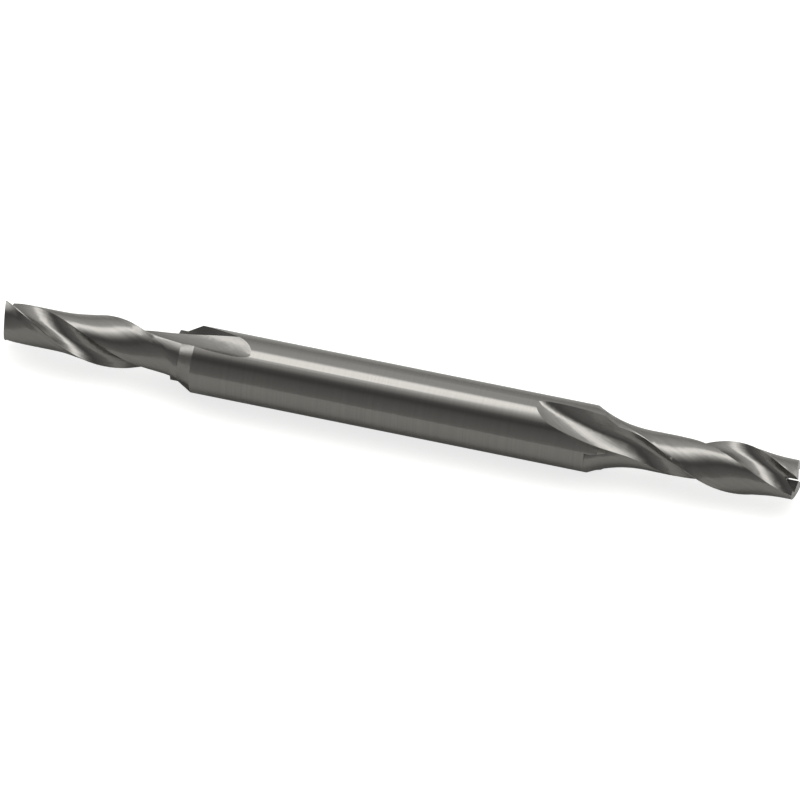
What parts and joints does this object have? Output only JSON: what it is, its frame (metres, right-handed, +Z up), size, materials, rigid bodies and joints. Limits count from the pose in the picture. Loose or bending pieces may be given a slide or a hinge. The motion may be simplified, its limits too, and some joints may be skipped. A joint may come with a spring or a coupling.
{
  "type": "square end mill",
  "caption": "Double-end square end mill of ground high-speed steel, with helical flutes at both ends of a plain round shank.",
  "frame": {"origin": "on the tool's axis, midway between the two ends", "axes": "+X along the axis towards one cutting end, +Z up with the tool lying on its shank, +Y across it"},
  "size_m": [0.0572, 0.0048, 0.0048],
  "materials": {
    "tool_steel": "ground"
  },
  "bodies": {
    "root": {"end_mill": "tool_steel"}
  },
  "joints": []
}
